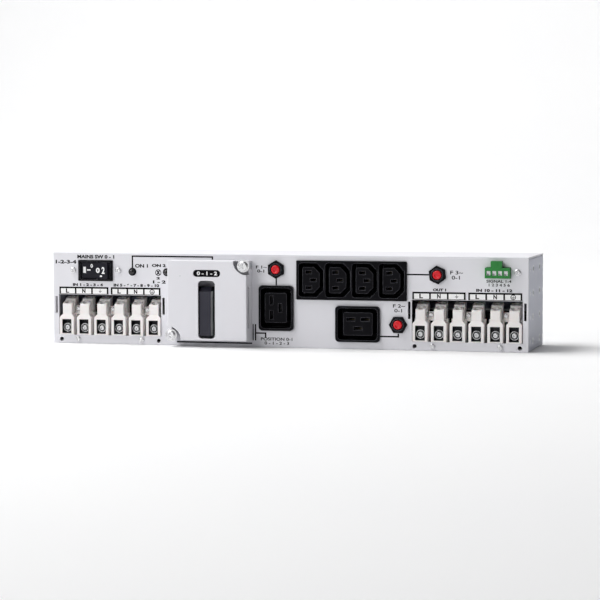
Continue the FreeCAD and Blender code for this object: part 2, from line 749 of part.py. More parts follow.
def bypass_switch():
    """Cam switch behind the panel, with a bar handle on its shaft."""
    x, z = D.handle_across, D.handle_up
    spot = (x, z)
    case = soften(box(about(x, 24), (INSIDE, INSIDE + 34), about(z, 24)), 3, runs_along("y"))
    chamber = rod("y", (INSIDE + 6, INSIDE + 28), spot, 15)
    bearing = rod("y", (INSIDE - 1, INSIDE + 33), spot, D.shaft_radius + 0.05)
    screw_holes = [rod("y", (INSIDE - 1, INSIDE + 5), place_of, D.screw_radius) for place_of in PLATE_SCREWS]
    stud_holes = [rod("z", (z + 18, z + 25), (x + dx, INSIDE + dy), 1.6)
                  for dx in (-16, -5.5, 5.5, 16) for dy in (10, 24)]
    node("bypass_switch_case", cut(case, [fuse([chamber, bearing])] + screw_holes + stud_holes, "cam_case"))
    plate = soften(box(about(x, 21.5), (FACE - 2, FACE), about(z, 21.5)), 3, runs_along("y"))
    plate_holes = [rod("y", (FACE - 3, FACE + 1), spot, 7)]
    plate_holes += [rod("y", (FACE - 3, FACE + 1), place_of, D.screw_radius) for place_of in PLATE_SCREWS]
    node("bypass_switch_plate", cut(plate, plate_holes, "escutcheon"))
    screws = [pan_screw(*place_of, INSIDE + 4.5, head_radius=length(2.5), head_back=FACE - 2)
              for place_of in PLATE_SCREWS]
    node("bypass_switch_screws", group(screws, "cam_screws"))
    studs = [fuse([rod("z", (z + 18.5, z + 24), (x + dx, INSIDE + dy), 1.6),
                   rod("z", (z + 24, z + 25.8), (x + dx, INSIDE + dy), 3.2)])
             for dx in (-16, -5.5, 5.5, 16) for dy in (10, 24)]
    node("bypass_switch_terminals", group(studs, "cam_terminals"))

    shaft = rod("y", (FACE - 12, INSIDE + 31), spot, D.shaft_radius, "shaft")
    node("bypass_shaft", shaft)
    cams = []
    for start in (7, 13, 19):
        disc = rod("y", (INSIDE + start, INSIDE + start + 4.5), spot, 13.5)
        notch = box(about(x, 5), (INSIDE + start - 1, INSIDE + start + 6), (z + 10, z + 16))
        bore = rod("y", (INSIDE + start - 1, INSIDE + start + 6), spot, D.shaft_radius)
        cams.append(cut(disc, [notch, bore]))
    node("bypass_cams", group(cams, "cams"))

    half = D.handle_half
    front = FACE - D.cover_proud + 1.7
    bar = pad("x", about(x, D.handle_width / 2), [
        (front, z - half), (front, z + half - 4.3), (FACE - 10, z + half), (FACE - 2.8, z + half),
        (FACE - 2.8, z - half)], "bar")
    softened = soften(bar, 0.6, lambda edge, size: size.YMax < FACE.value - 9.9)
    hub = rod("y", (FACE - 5, FACE - 2.8), spot, 11)
    bored = cut(fuse([softened, hub]), [rod("y", (FACE - 12, FACE), spot, D.shaft_radius)], "handle_bored")
    node("bypass_handle", bored)


# ---------------------------------------------------------------- bypass cover


def bypass_cover():
    """Pressed steel cover over the bypass handle, with a notch and a screw tab at two corners."""
    near = FACE - D.cover_proud
    outer = soften(box(COVER_X, (near, FACE - 0.3), COVER_Z, "cover_blank"), 0.8,
                   lambda edge, size: size.YMax < near.value + 0.01 or runs_along("y")(edge, size))
    inside = box((COVER_X[0] + D.gauge, COVER_X[1] - D.gauge), (near + D.gauge, FACE + 1),
                 (COVER_Z[0] + D.gauge, COVER_Z[1] - D.gauge))
    shell = cut(outer, [inside], "cover_shell")
    floor = FACE - D.notch_floor
    pieces = [shell]
    for corner in CORNERS.values():
        tab = rod("y", (floor, floor + D.gauge), corner, 9.0)
        pieces.append(common(tab, box(COVER_X, (near, FACE), COVER_Z)))
    cover = fuse(pieces, "cover_with_corners")
    tools = []
    for name, corner in CORNERS.items():
        notch = rod("y", (near - 1, floor), corner, D.cover_notch)
        hole = rod("y", (floor - 1, floor + D.gauge + 1), COVER_SCREWS[name], 2.25)
        relief = rod("y", (floor + D.gauge, FACE + 1), COVER_SCREWS[name], 4.0)
        tools.append(fuse([notch, hole, relief]))
    slot = rounded_box((D.slot_left, D.slot_right), (near - 1, near + 3), (D.slot_low, D.slot_high), 3.5)
    window = rounded_box(about(D.cover_across, D.window_width / 2), (near - 1, near + 2),
                         about(D.window_up, D.window_height / 2), 3.1)
    peg_hole = rod("y", (near - 1, near + 2), (D.peg_across, D.peg_up), 1.0)
    side_slot = rounded_box((COVER_X[1] - 2, COVER_X[1] + 1), (FACE - 13.5, FACE - 8.5),
                            (D.side_slot_low, D.side_slot_high), 2.4, "x")
    node("bypass_cover", cut(cover, tools + [slot, window, peg_hole, side_slot], "cover"))

    insert = rounded_box(about(D.cover_across, 15), (near + D.gauge, near + 2 * D.gauge),
                         about(D.window_up, 4.6), 2)
    node("cover_window_insert", insert)
    peg = fuse([rod("y", (near + D.gauge, FACE - 2.6), (D.peg_across, D.peg_up), 2.0),
                rod("y", (near, near + D.gauge), (D.peg_across, D.peg_up), 1.0)])
    node("cover_peg", peg)


def cover_screw(which):
    """Captive screw of the cover: flanged cross-slotted head, spacer, shank, and the clip behind."""
    spot = COVER_SCREWS[which]
    floor = FACE - D.notch_floor
    plate = FACE - D.cover_proud
    top = plate - 1.8
    head = soften(rod("y", (top, plate + 0.4), spot, 4.3), 1.2,
                  lambda edge, size: size.YLength < 0.01 and size.YMax < top.value + 0.1)
    flange = rod("y", (plate + 0.4, plate + 1.4), spot, 5.6)
    spacer = rod("y", (plate + 1.4, floor - 0.3), spot, 3.0)
    shank = rod("y", (floor - 0.3, FACE - 0.6), spot, 1.95)
    x, z = spot
    slot = fuse([box(about(x, wide), (top - 1, top + 1.3), about(z, tall))
                 for wide, tall in ((2.5, 0.45), (0.45, 2.5))])
    node(f"{which}_cover_screw", cut(fuse([head, flange, spacer, shank]), [slot], "captive_screw"))
    clip = cut(rod("y", (FACE - 6.5, FACE - 5.7), spot, 3.0),
               [rod("y", (FACE - 7, FACE - 5), spot, 1.95),
                box((x - 0.9, x + 0.9), (FACE - 7, FACE - 5), (z - 4, z))], "clip")
    node(f"{which}_screw_clip", clip)


def cover_posts():
    """Two threaded posts riveted in the panel, one for each cover screw."""
    posts = []
    for spot in COVER_SCREWS.values():
        post = fuse([rod("y", (FACE - 5.2, FACE), spot, 3.2), rod("y", (FACE, INSIDE), spot, 2.4),
                     rod("y", (INSIDE, INSIDE + 0.8), spot, 3.2)])
        posts.append(cut(post, [rod("y", (FACE - 7, INSIDE + 5), spot, 2.0)]))
    return node("cover_posts", group(posts, "posts"))


def interlock():
    """Small switch behind the panel whose plunger senses the cover's peg."""
    x, z = D.peg_across, D.peg_up
    case = box(about(x, 3.2), (INSIDE, INSIDE + 11), (z - 5.8, z + 12.2))
    bore = rod("y", (INSIDE - 1, INSIDE + 9), (x, z), 1.55)
    node("interlock_switch", cut(case, [bore], "interlock_case"))
    plunger = soften(rod("y", (FACE - 2.3, INSIDE + 6), (x, z), 1.5), 0.6,
                     lambda edge, size: size.YLength < 0.01 and size.YMax < FACE.value)
    node("interlock_plunger", plunger)


# ---------------------------------------------------------------- outlets


def contact(x, z, wide, tall, start, end):
    """A folded brass contact: two leaves at the front and one blade at the back."""
    leaf = min(wide, tall)
    if wide > tall:
        gap = box(about(x, wide), (FACE + start - 1, FACE + start + 10), about(z, leaf * 0.55))
        blade = box(about(x, wide), (FACE + start + 11, FACE + end), about(z, 0.4))
    else:
        gap = box(about(x, leaf * 0.55), (FACE + start - 1, FACE + start + 10), about(z, tall))
        blade = box(about(x, 0.4), (FACE + start + 11, FACE + end), about(z, tall))
    block = box(about(x, wide), (FACE + start, FACE + start + 12), about(z, tall))
    return fuse([cut(block, [gap]), blade])


def stepped_slot(spot, wide, tall, end):
    """A contact's slot, a little wider at its mouth."""
    x, z = spot
    return fuse([box(about(x, wide), (FACE - 3, FACE + end), about(z, tall)),
                 box(about(x, wide + 0.25), (FACE - 3, FACE + 5), about(z, tall + 0.25))], "slot")


def round_left(shape, radius):
    """Round the two left-hand edges of an outlet's outline."""
    DOC.recompute()
    left = shape.Shape.BoundBox.XMin
    return soften(shape, radius, lambda edge, size: runs_along("y")(edge, size) and size.XMax < left + 0.01)


def outlet_bank():
    """Four ten-ampere outlets in one moulding, with twelve contacts."""
    x, z = D.bank_across, D.bank_up
    rim = soften(box(about(x, D.bank_width / 2), (FACE - D.outlet_rim, FACE), about(z, D.bank_tall / 2)), 0.9,
                 lambda edge, size: size.YMax < FACE.value - 2 or runs_along("y")(edge, size))
    body = box(about(x, D.bank_width / 2 - 1), (FACE, FACE + 24), about(z, D.bank_tall / 2 - 1))
    cavities, cores, slots, contacts = [], [], [], []
    for index in range(4):
        middle = x + D.bank_pitch * (index - 1.5)
        across = about(middle + 0.2, 11.5)
        up = about(z + 0.2, 15.3)
        cavities.append(round_left(pad("y", (FACE - 3, FACE + 15), chamfered(across, up, 6.4), "cavity"), 3.0))
        core = pad("y", (FACE - 1.6, FACE + 16),
                   chamfered(about(middle, 7.75), about(z + 0.2, 11.4), 5.2), "core")
        cores.append(round_left(core, 1.6))
        for dx, dz in ((-2.1, 6.9), (-2.1, -6.9), (2.0, 0)):
            spot = (middle + dx, z + dz + 0.2)
            slots.append(stepped_slot(spot, 2.6, 1.25, 25))
            contacts.append(contact(spot[0], spot[1], 2.6, 1.25, 9, 31))
    hollowed = cut(fuse([rim, body]), cavities, "bank_hollowed")
    moulding = fuse([hollowed] + cores, "bank_moulding")
    node("outlet_bank_housing", cut(moulding, slots, "bank"))
    return contacts


def big_outlets():
    """Where the two sixteen-ampere outlets are, and whether each lies on its side."""
    return [(D.big_left_across, D.big_left_up, False), (D.big_right_across, D.big_right_up, True)]


def big_outlet_shapes():
    """Moulding and contacts of a sixteen-ampere outlet, upright about the frame's Y axis."""
    rim = soften(box(about(0, D.big_width / 2), (FACE - D.outlet_rim, FACE), about(0, D.big_tall / 2)), 3.4,
                 runs_along("y"))
    body = rounded_box(about(0, D.big_width / 2 - 0.5), (FACE, FACE + 26), about(0, D.big_tall / 2 - 0.5), 3.0)
    cavity = rounded_box(about(0, 14.2), (FACE - 3, FACE + 17), about(0, 18.2), 3.6)
    core = soften(box(about(-0.2, 10.1), (FACE - 1.6, FACE + 18), about(0.4, 13.2)), 1.6, runs_along("y"))
    slots, contacts = [], []
    for dx, dz in ((-4.2, 7.0), (-4.2, -6.2), (3.8, 0.2)):
        slots.append(stepped_slot((dx, dz), 1.35, 3.7, 27))
        contacts.append(contact(dx, dz, 1.35, 3.7, 9, 33))
    hollowed = cut(fuse([rim, body]), [cavity], "big_hollowed")
    housing = cut(fuse([hollowed, core]), slots, "big_housing")
    return housing, group(contacts, "big_contacts")


def large_outlets():
    """The upright outlet and the one on its side."""
    housing, contacts = big_outlet_shapes()
    sets = []
    for name, (across, up, turned) in zip(("left", "right"), big_outlets()):
        turn = FreeCAD.Rotation(V(0, 1, 0), 90) if turned else None
        node(f"{name}_large_outlet_housing", copy_at(housing, across, 0, up, turn, "large_housing"))
        sets.append(copy_at(contacts, across, 0, up, turn, "large_contacts"))
    return sets


def outlets():
    """All six outlets, with their contacts in one group."""
    node("outlet_contacts", group(outlet_bank() + large_outlets(), "contacts"))


# ---------------------------------------------------------------- circuit breakers


def hexagon(spot, flats, span, turn):
    """A six-sided prism along Y; at a turn of 0 two of its corners point sideways."""
    x, z = spot
    corners = []
    for step in range(6):
        angle = math.radians(turn + 60 * step)
        corners.append((x + flats * (math.cos(angle) / math.sqrt(3)), z + flats * (math.sin(angle) / math.sqrt(3))))
    return pad("y", span, corners, "hexagon")


def breakers():
    """Three push-to-reset circuit breakers, each with a hexagon nut on the panel's face."""
    cases, nuts = [], []
    for (name, spot), turn in zip(BREAKERS.items(), (30, 0, 36)):
        x, z = spot
        case = box(about(x, 7.3), (INSIDE, INSIDE + 32), about(z, 7.3))
        bush = rod("y", (FACE - 3.2, INSIDE), spot, 5.5)
        bore = fuse([rod("y", (FACE - 5, INSIDE + 11), spot, D.breaker_button + 0.2),
                     rod("y", (FACE - 5, FACE + 1), spot, D.breaker_button + 0.9)])
        slots = [box(about(x + dx, 3.2), (INSIDE + 22, INSIDE + 33), about(z, 0.4)) for dx in (-3.6, 3.6)]
        cases.append(cut(fuse([case, bush]), [bore] + slots, "breaker_case"))
        nut = soften(hexagon(spot, D.breaker_nut_flats, (FACE - 2.8, FACE), turn), 0.5,
                     lambda edge, size: size.YLength < 0.01 and size.YMax < FACE.value - 2)
        nuts.append(cut(nut, [rod("y", (FACE - 4, FACE + 1), spot, 5.5)]))
        button = soften(rod("y", (FACE - 3.7, INSIDE + 9), spot, D.breaker_button), 0.8,
                        lambda edge, size: size.YLength < 0.01 and size.YMax < FACE.value - 3)
        dish = taper("y", (FACE - 3.8, FACE - 3.0), spot, 2.7, 1.8)
        node(f"{name}_breaker_button", cut(button, [dish], "button"))
    node("breaker_cases", group(cases, "breaker_bodies"))
    node("breaker_nuts", group(nuts, "nuts"))


# ---------------------------------------------------------------- signal connector


def signal_connector():
    """Four-pole pluggable connector: a plug in a header on a small board behind the panel."""
    x, z = D.signal_across, D.signal_up
    poles = [x + D.signal_pitch * (index - 1.5) for index in range(4)]
    body = box(about(x, D.signal_width / 2), (FACE - 6.5, FACE + 9), about(z, D.signal_tall / 2))
    grip = soften(box(about(x - 0.8, 4.9), (FACE - 6.5, FACE - 0.6), (z + D.signal_tall / 2, 79.8)), 0.7,
                  runs_along("y"))
    entries = []
    for pole_x in poles:
        entry = box(about(pole_x, 1.75), (FACE - 7, FACE - 1), about(z - 0.1, 2.0))
        socket = box(about(pole_x, 0.8), (FACE + 1.5, FACE + 10), about(z, 0.8))
        entries += [entry, socket]
    node("signal_plug", cut(fuse([body, grip]), entries, "plug"))
    clamps_in_plug = [cut(box(about(pole_x, 1.7), (FACE - 5.9, FACE - 1), about(z - 0.1, 1.95)),
                          [box(about(pole_x - 0.45, 0.85), (FACE - 6, FACE - 2), (z - 1.8, z - 0.3))])
                      for pole_x in poles]
    node("signal_plug_clamps", group(clamps_in_plug, "plug_clamps"))

    shroud = cut(box(about(x, 12.9), (INSIDE, INSIDE + 12), about(z, 6.3)),
                 [box(about(x, 11.5), (INSIDE - 1, INSIDE + 9), about(z, 4.9))]
                 + [box(about(pole_x, 0.5), (INSIDE + 8, INSIDE + 13), about(z, 0.5)) for pole_x in poles],
                 "shroud")
    node("signal_header", shroud)
    pins = [box(about(pole_x, 0.5), (FACE + 3, INSIDE + 16), about(z, 0.5)) for pole_x in poles]
    node("signal_header_pins", group(pins, "pins"))
    spot = (D.signal_screw, z + 0.3)
    holes = [box(about(pole_x, 0.5), (INSIDE + 11, INSIDE + 15), about(z, 0.5)) for pole_x in poles]
    holes.append(rod("y", (INSIDE + 11, INSIDE + 15), spot, D.screw_radius))
    node("signal_board", cut(box((177, 213), (INSIDE + 12, INSIDE + 13.6), (60, 76)), holes, "pcb"))


def earth_point():
    """Stud in the tray's floor with a nut, where the earth wires meet."""
    spot = (20, 20)
    node("earth_stud", fuse([rod("z", (D.gauge, 16), spot, 2.0), rod("z", (D.gauge, D.gauge + 1), spot, 4.0)]))
    nut = pad("z", (7, 10), [(23.5, 20), (21.75, 23.03), (18.25, 23.03), (16.5, 20),
                             (18.25, 16.97), (21.75, 16.97)], "stud_hexagon")
    node("earth_nut", cut(nut, [rod("z", (6, 11), spot, 2.0)], "stud_nut"))


# ---------------------------------------------------------------- build, check and write

chassis_tray()
rack_ear_inserts()
connection_panel()
top_cover()
top_cover_screws()
for strip in TERMINALS:
    terminal_strip(strip)
terminal_rails()
clamps()
terminal_brackets()
strip_screws()
bracket_screws()
terminal_labels()
input_switch()
blade_terminals()
lamps()
board_fixings()
bypass_switch()
bypass_cover()
for screw in COVER_SCREWS:
    cover_screw(screw)
cover_posts()
interlock()
outlets()
breakers()
signal_connector()
earth_point()
DOC.recompute()

for thing in DOC.Objects:
    if "Invalid" in thing.State or "Error" in thing.State:
        raise RuntimeError(f"{thing.Name} ({thing.Label}) failed: {thing.State}")
for label, thing in NODES.items():
    if thing.Shape.isNull() or not thing.Shape.isValid() or not thing.Shape.Solids:
        raise RuntimeError(f"{label} has no valid solid")
    if thing.Label != label:
        raise RuntimeError(f"{label} is named {thing.Label}")

os.makedirs("parts", exist_ok=True)
for label, thing in NODES.items():
    Part.makeCompound(thing.Shape.Solids).exportStep(f"parts/{label}.step")
    print(f"{label}: {len(thing.Shape.Solids)} solids, {thing.Shape.Volume:.1f} mm3")
print(f"{len(NODES)} sub-parts")
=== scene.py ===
import json
import math
import bmesh
import bpy
from mathutils import Matrix, Vector


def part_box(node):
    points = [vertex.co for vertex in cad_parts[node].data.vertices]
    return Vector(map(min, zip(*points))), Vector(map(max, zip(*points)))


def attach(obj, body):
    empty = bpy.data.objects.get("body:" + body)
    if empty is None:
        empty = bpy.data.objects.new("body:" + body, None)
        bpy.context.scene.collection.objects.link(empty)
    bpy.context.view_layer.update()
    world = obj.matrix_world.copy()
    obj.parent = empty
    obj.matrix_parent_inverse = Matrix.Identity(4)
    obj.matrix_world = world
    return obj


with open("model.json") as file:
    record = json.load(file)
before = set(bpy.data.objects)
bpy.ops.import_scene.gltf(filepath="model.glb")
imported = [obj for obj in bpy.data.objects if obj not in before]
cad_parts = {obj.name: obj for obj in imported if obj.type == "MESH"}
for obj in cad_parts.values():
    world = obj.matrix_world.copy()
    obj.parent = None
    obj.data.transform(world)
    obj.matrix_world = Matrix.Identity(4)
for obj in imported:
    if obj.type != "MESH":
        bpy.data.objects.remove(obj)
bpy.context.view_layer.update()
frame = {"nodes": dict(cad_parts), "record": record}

MM = 0.001
NODES = frame["nodes"]
JOINTS = {joint["name"]: joint for joint in frame["record"]["behaviour"]["joints"]}

# The panel's own axes: x across, z up, and y is its front face.
PANEL_LOW, PANEL_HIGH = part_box("connection_panel")
FACE = PANEL_LOW.y
INK = 0.04 * MM
COAT_ROUGHNESS = 0.12
HANDLE_HALF_WIDTH = 5.35 * MM


# ---------------------------------------------------------------- node helpers


def link(tree, source, target):
    """Join two sockets."""
    tree.links.new(source, target)


def add(tree, kind, **values):
    """A shader node with its settings."""
    made = tree.nodes.new(kind)
    for name, value in values.items():
        setattr(made, name, value)
    return made


def noise(tree, coords, scale, detail=3.0, stretch=None, rough=0.55):
    """Noise over object coordinates; stretch scales the coordinates per axis."""
    source = coords
    if stretch:
        mapping = add(tree, "ShaderNodeMapping")
        mapping.inputs["Scale"].default_value = stretch
        link(tree, coords, mapping.inputs["Vector"])
        source = mapping.outputs["Vector"]
    made = add(tree, "ShaderNodeTexNoise")
    made.inputs["Scale"].default_value = scale
    made.inputs["Detail"].default_value = detail
    made.inputs["Roughness"].default_value = rough
    link(tree, source, made.inputs["Vector"])
    return made.outputs["Fac"]


def spread(tree, value, low, high):
    """Turn the middle of a noise into the range from low to high."""
    made = add(tree, "ShaderNodeMapRange")
    made.inputs["From Min"].default_value = 0.3
    made.inputs["From Max"].default_value = 0.7
    made.inputs["To Min"].default_value = low
    made.inputs["To Max"].default_value = high
    link(tree, value, made.inputs["Value"])
    return made.outputs["Result"]


def blend_colour(tree, factor, first, second):
    """Mix two colours, each a tuple or a socket."""
    made = add(tree, "ShaderNodeMix", data_type="RGBA")
    link(tree, factor, made.inputs["Factor"])
    for name, colour in (("A", first), ("B", second)):
        socket = [item for item in made.inputs if item.name == name and item.type == "RGBA"][0]
        if isinstance(colour, tuple):
            socket.default_value = (*colour, 1.0)
        else:
            link(tree, colour, socket)
    return [item for item in made.outputs if item.type == "RGBA"][0]


def edge_mask(tree, radius):
    """About 1 along sharp edges and 0 on flat faces, with the rounded normal that shows it."""
    rounded = add(tree, "ShaderNodeBevel", samples=6)
    rounded.inputs["Radius"].default_value = radius
    geometry = add(tree, "ShaderNodeNewGeometry")
    dot = add(tree, "ShaderNodeVectorMath", operation="DOT_PRODUCT")
    link(tree, rounded.outputs["Normal"], dot.inputs[0])
    link(tree, geometry.outputs["Normal"], dot.inputs[1])
    ramp = add(tree, "ShaderNodeMapRange")
    ramp.inputs["From Min"].default_value = 0.995
    ramp.inputs["From Max"].default_value = 0.80
    link(tree, dot.outputs["Value"], ramp.inputs["Value"])
    return ramp.outputs["Result"], rounded.outputs["Normal"]


def surface(name, colour, darker, edge_light_and_wear, rough, grain, bump, radius=0.25 * MM, metallic=0.0,
            coat=0.0, brushed=None, subsurface=0.0, blotch=22.0, shine=0.5):
    """A finished surface: blotchy colour, fine grain, varied gloss and softly rounded edges.

    colour is the body colour, darker the shade it drifts to, and the third colour the paler colour of
    its edges: a painted edge highlight, on the paints also edge wear; grain is the size of the finest
    texture in metres and bump its depth; shine is the strength of the clear reflection.
    """
    made = bpy.data.materials.new(name)
    made.use_nodes = True
    tree = made.node_tree
    tree.nodes.clear()
    output = add(tree, "ShaderNodeOutputMaterial")
    shader = add(tree, "ShaderNodeBsdfPrincipled")
    link(tree, shader.outputs["BSDF"], output.inputs["Surface"])
    coords = add(tree, "ShaderNodeTexCoord").outputs["Object"]
    broad = noise(tree, coords, blotch, 4.0)
    fine = noise(tree, coords, 1.0 / grain, 2.0, brushed)
    mottled = blend_colour(tree, spread(tree, broad, 0.0, 1.0), colour, darker)
    speck = blend_colour(tree, spread(tree, fine, 0.0, 0.35), mottled, darker)
    # Edges are blended to the paler edge colour: a painted edge highlight, on the paints also edge wear.
    edges, rounded = edge_mask(tree, radius)
    edge_lit_and_worn = blend_colour(tree, edges, speck, edge_light_and_wear)
    link(tree, edge_lit_and_worn, shader.inputs["Base Color"])
    link(tree, spread(tree, noise(tree, coords, blotch * 3.1, 3.0, brushed), *rough),
         shader.inputs["Roughness"])
    relief = add(tree, "ShaderNodeBump")
    relief.inputs["Distance"].default_value = bump
    relief.inputs["Strength"].default_value = 0.6
    link(tree, fine, relief.inputs["Height"])
    link(tree, rounded, relief.inputs["Normal"])
    link(tree, relief.outputs["Normal"], shader.inputs["Normal"])
    shader.inputs["Metallic"].default_value = metallic
    shader.inputs["Coat Weight"].default_value = coat
    shader.inputs["Coat Roughness"].default_value = COAT_ROUGHNESS
    shader.inputs["Specular IOR Level"].default_value = shine
    shader.inputs["Subsurface Weight"].default_value = subsurface
    shader.inputs["Subsurface Scale"].default_value = 0.8 * MM
    return made


# ---------------------------------------------------------------- materials

# The third colour of each surface is its paler edge colour: a painted edge highlight, on the paints also edge
# wear.
PAINT = surface("cabinet_paint", (0.775, 0.770, 0.806), (0.748, 0.744, 0.783), (0.90, 0.90, 0.92),
                (0.46, 0.60), 0.45 * MM, 0.02 * MM, radius=0.5 * MM, shine=0.3)
# The tray takes a darker, bluer grey than the front panel: partly the sheet's own colour, partly painted shade
# for its shaded right side.
TRAY_PAINT_AND_SHADE = surface("tray_paint", (0.580, 0.594, 0.680), (0.545, 0.560, 0.643), (0.80, 0.81, 0.88),
                     (0.44, 0.58), 0.45 * MM, 0.02 * MM, radius=0.5 * MM, shine=0.3)
ZINC = surface("zinc_steel", (0.78, 0.79, 0.81), (0.60, 0.62, 0.65), (0.92, 0.92, 0.93),
               (0.30, 0.46), 0.5 * MM, 0.01 * MM, metallic=1.0, brushed=(1.0, 1.0, 9.0))
# This near-black steel colours the clamp sleeves that line the terminal wells: painted shade, a dark lining
# where the deep wells are in shade.
DARK_STEEL_AS_SHADE = surface("dark_steel", (0.050, 0.049, 0.052), (0.030, 0.030, 0.033), (0.16, 0.16, 0.17),
                     (0.34, 0.50), 0.35 * MM, 0.01 * MM, radius=0.15 * MM, metallic=1.0,
                     brushed=(1.0, 5.0, 1.0), blotch=120.0)
NICKEL = surface("bright_screw", (0.86, 0.86, 0.86), (0.64, 0.64, 0.66), (0.97, 0.97, 0.97),
                 (0.22, 0.38), 0.3 * MM, 0.006 * MM, radius=0.15 * MM, metallic=1.0,
                 brushed=(1.0, 6.0, 1.0), blotch=160.0)
IVORY = surface("ivory_plastic", (0.90, 0.868, 0.855), (0.85, 0.815, 0.80), (0.97, 0.96, 0.95),
                (0.36, 0.52), 0.35 * MM, 0.012 * MM, radius=0.3 * MM, subsurface=0.08, blotch=60.0)
BLACK = surface("black_plastic", (0.0050, 0.0048, 0.0066), (0.0032, 0.0031, 0.0045), (0.24, 0.24, 0.27),
                (0.44, 0.58), 0.30 * MM, 0.02 * MM, radius=0.45 * MM, blotch=80.0, shine=0.06)
ROCKER = surface("rocker_black", (0.0130, 0.0125, 0.0195), (0.0090, 0.0088, 0.0140), (0.15, 0.15, 0.17),
                 (0.32, 0.44), 0.40 * MM, 0.008 * MM, radius=0.35 * MM, blotch=90.0, shine=0.15)
LENS = surface("lens_plastic", (0.0060, 0.0062, 0.0060), (0.0030, 0.0032, 0.0030), (0.03, 0.03, 0.03),
               (0.08, 0.16), 0.6 * MM, 0.004 * MM, coat=0.4, blotch=120.0, shine=0.4)
HANDLE = surface("handle_grey", (0.034, 0.0335, 0.047), (0.026, 0.0255, 0.038), (0.11, 0.11, 0.13),
                 (0.38, 0.52), 0.35 * MM, 0.02 * MM, radius=0.35 * MM, blotch=50.0, shine=0.25)
RED = surface("red_button", (0.80, 0.014, 0.024), (0.62, 0.010, 0.018), (0.80, 0.06, 0.075),
              (0.22, 0.34), 0.4 * MM, 0.006 * MM, radius=0.3 * MM, coat=0.15, subsurface=0.05, blotch=110.0,
              shine=0.3)
GREEN = surface("green_plastic", (0.030, 0.250, 0.050), (0.021, 0.185, 0.036), (0.08, 0.30, 0.11),
                (0.36, 0.50), 0.30 * MM, 0.015 * MM, radius=0.25 * MM, subsurface=0.03, blotch=90.0, shine=0.3)
LABEL = surface("label_film", (0.94, 0.94, 0.94), (0.90, 0.90, 0.895), (0.96, 0.96, 0.96),
                (0.40, 0.55), 0.25 * MM, 0.004 * MM, radius=0.05 * MM, blotch=90.0)
BOARD = surface("circuit_board", (0.02, 0.13, 0.05), (0.012, 0.085, 0.03), (0.25, 0.30, 0.16),
                (0.25, 0.40), 0.5 * MM, 0.01 * MM, coat=0.3, blotch=140.0)
BRASS = surface("brass_contact", (0.25, 0.19, 0.10), (0.17, 0.13, 0.07), (0.42, 0.34, 0.20),
                (0.25, 0.42), 0.4 * MM, 0.006 * MM, metallic=1.0, brushed=(1.0, 5.0, 1.0), blotch=150.0)
BLACK_INK = surface("black_ink", (0.0035, 0.0035, 0.0040), (0.0060, 0.0060, 0.0065), (0.02, 0.02, 0.022),
                    (0.55, 0.70), 0.20 * MM, 0.004 * MM, radius=0.02 * MM, blotch=200.0, shine=0.12)
WHITE_INK = surface("white_ink", (0.93, 0.93, 0.93), (0.86, 0.86, 0.87), (0.95, 0.95, 0.95),
                    (0.45, 0.60), 0.20 * MM, 0.004 * MM, radius=0.02 * MM, blotch=200.0)

SLOT_MATERIALS = {
    "cabinet_paint": PAINT, "tray_paint": TRAY_PAINT_AND_SHADE, "zinc_steel": ZINC, "dark_steel": DARK_STEEL_AS_SHADE,
    "bright_screw": NICKEL, "ivory_plastic": IVORY,
    "black_plastic": BLACK, "rocker_black": ROCKER, "lens_plastic": LENS, "handle_grey": HANDLE,
    "red_button": RED, "green_plastic": GREEN, "label_film": LABEL, "circuit_board": BOARD,
    "brass_contact": BRASS,
}


def dress_cad_nodes():
    """Give every carried-over CAD node the finished material of its slot."""
    for part in frame["record"]["subparts"]:
        mesh = NODES[part["node"]].data
        for index in range(max(1, len(mesh.materials))):
            if mesh.materials:
                mesh.materials[index] = SLOT_MATERIALS[part["material_slot"]]
            else:
                mesh.materials.append(SLOT_MATERIALS[part["material_slot"]])


# ---------------------------------------------------------------- printed marks


def finish_piece(mesh, name, material, body):
    """Make an object of a mesh, with its material, its body and its finish."""
    mesh.materials.clear()
    mesh.materials.append(material)
    made = bpy.data.objects.new(name, mesh)
    bpy.context.scene.collection.objects.link(made)
    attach(made, body)
    return made


def printed_bars(name, bars, depth, material, body="chassis"):
    """Thin printed rectangles, each (x low, x high, z low, z high), standing on the plane at depth."""
    built = bmesh.new()
    for x_low, x_high, z_low, z_high in bars:
        centre = Vector(((x_low + x_high) / 2, depth - INK / 2, (z_low + z_high) / 2))
        size = Matrix.Diagonal((x_high - x_low, INK, z_high - z_low, 1.0))
        bmesh.ops.create_cube(built, size=1.0, matrix=Matrix.Translation(centre) @ size)
    mesh = bpy.data.meshes.new(name)
    built.to_mesh(mesh)
    built.free()
    return finish_piece(mesh, name, material, body)


def text_mesh(text, height, bold=0.0):
    """Flat lettering in the XY plane, centred on the origin, with capitals of that height."""
    curve = bpy.data.curves.new("lettering", "FONT")
    curve.body = text
    curve.size = height / 0.73
    curve.extrude = INK / 2
    curve.offset = bold
    curve.align_x = "CENTER"
    curve.align_y = "CENTER"
    curve.space_line = 1.0
    carrier = bpy.data.objects.new("lettering", curve)
    mesh = bpy.data.meshes.new_from_object(carrier)
    bpy.data.objects.remove(carrier)
    return mesh


